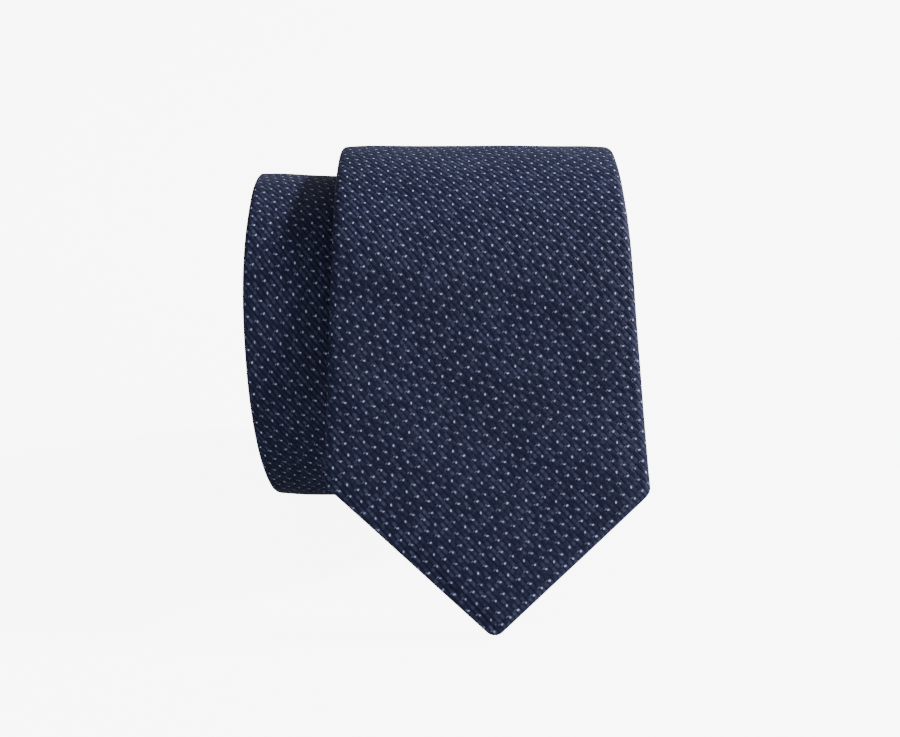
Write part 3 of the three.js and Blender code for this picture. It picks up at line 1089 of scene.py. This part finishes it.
trims = (
    (bladeTipping, liningMat, "lining", "bladeLift", "blade_tipping"),
    (tailTipping, liningMat, "lining", "roll", "tail_tipping"),
    (keeperPiece, clothMat, "tie_cloth", "roll", "keeper_loop"),
    (labelPiece, labelMat, "label", "unrollTop", "blank_label"),
    (tagPiece, tapeMat, "tape", "bladeLift", "care_tag"),
    (bladeTack, threadMat, "thread", "blade", "blade_bar_tack"),
    (tailTack, threadMat, "thread", "roll", "tail_bar_tack"),
    (labelStitches, threadMat, "thread", "unrollTop"),
)
for obj, material, slotName, how, *nodes in trims:
    dress(obj, material, slotName, *nodes)
    moveWith(obj, how)
declareFlat(bladeTipping, *liningEnds["bladeTipping"], liningHalf, ["bladeInterlining"])
declareFlat(tailTipping, *liningEnds["tailTipping"], liningHalf, ["rollInterlining"])
for obj, sizes, under in ((labelPiece, label, "turnFrontCloth"), (tagPiece, tag, "bladeCloth")):
    half = sizes["width"] / 2
    declareFlat(obj, sizes["at"], sizes["at"] + sizes["length"], lambda s: half, [under])
print("pieces dressed")

# floor, light and camera
studio = {"floor": 0.7, "floorSize": 6, "backdrop": 7.5, "world": 0.44, "aim": (0, 0, 0.045)}
# each light: its direction from the tie, distance and size in metres, and power in watts
lights = {
    "keyLight": ((0.80, 0.34, 0.57), 1.1, 0.14, 21.5),
    "frontLight": ((0.90, -0.55, 0.12), 1.1, 0.45, 10.5),
    "fillLight": ((-0.55, -0.85, 0.12), 1.2, 0.5, 2.0),
}


def makeFloor():
    bpy.ops.mesh.primitive_plane_add(size=studio["floorSize"])
    floor = bpy.context.object
    floor.name = "floor"
    mat = bpy.data.materials.new("paleFloor")
    mat.use_nodes = True
    tree = mat.node_tree
    shader = tree.nodes["Principled BSDF"]
    shader.inputs["Base Color"].default_value = (studio["floor"],) * 3 + (1,)
    shader.inputs["Roughness"].default_value = 0.9
    shader.inputs["Specular IOR Level"].default_value = 0.1
    shader.inputs["Emission Color"].default_value = (1, 1, 1, 1)
    seen = tree.nodes.new("ShaderNodeLightPath").outputs["Is Camera Ray"]
    tree.links.new(calc(tree, "MULTIPLY", seen, studio["backdrop"]), shader.inputs["Emission Strength"])
    floor.data.materials.append(mat)


def pointAtTarget(obj, target):
    obj.rotation_euler = (target - obj.location).to_track_quat("-Z", "Y").to_euler()


def softBox(name, direction, distance, size, power):
    light = bpy.data.lights.new(name, "AREA")
    light.shape = "DISK"
    light.size = size
    light.energy = power
    obj = bpy.data.objects.new(name, light)
    bpy.context.scene.collection.objects.link(obj)
    target = Vector(studio["aim"])
    obj.location = target + Vector(direction).normalized() * distance
    pointAtTarget(obj, target)
    obj.visible_camera = False


makeFloor()
for name, settings in lights.items():
    softBox(name, *settings)
world = bpy.data.worlds.new("studio")
world.use_nodes = True
sky = world.node_tree.nodes["Background"]
sky.inputs["Color"].default_value = (1, 1, 1, 1)
seen = world.node_tree.nodes.new("ShaderNodeLightPath").outputs["Is Camera Ray"]
extra = studio["backdrop"] - studio["world"]
brightness = calc(world.node_tree, "MULTIPLY_ADD", seen, extra, studio["world"])
world.node_tree.links.new(brightness, sky.inputs["Strength"])
bpy.context.scene.world = world

# the camera: degrees above the table, mm from its target, lens in mm
shot = {"elevation": 23.0, "distance": 560.0, "lens": 88.1, "target": (1.6, 15.5, 32.5)}
camera = bpy.data.cameras.new("camera")
camera.lens = shot["lens"]
camera.sensor_width = 36
camera.clip_start = 0.01
cameraObject = bpy.data.objects.new("camera", camera)
bpy.context.scene.collection.objects.link(cameraObject)
target = Vector(shot["target"]) * mm
tilt = math.radians(shot["elevation"])
cameraObject.location = target + Vector((0, -math.cos(tilt), math.sin(tilt))) * shot["distance"] * mm
pointAtTarget(cameraObject, target)
bpy.context.scene.camera = cameraObject

print("scene ready")
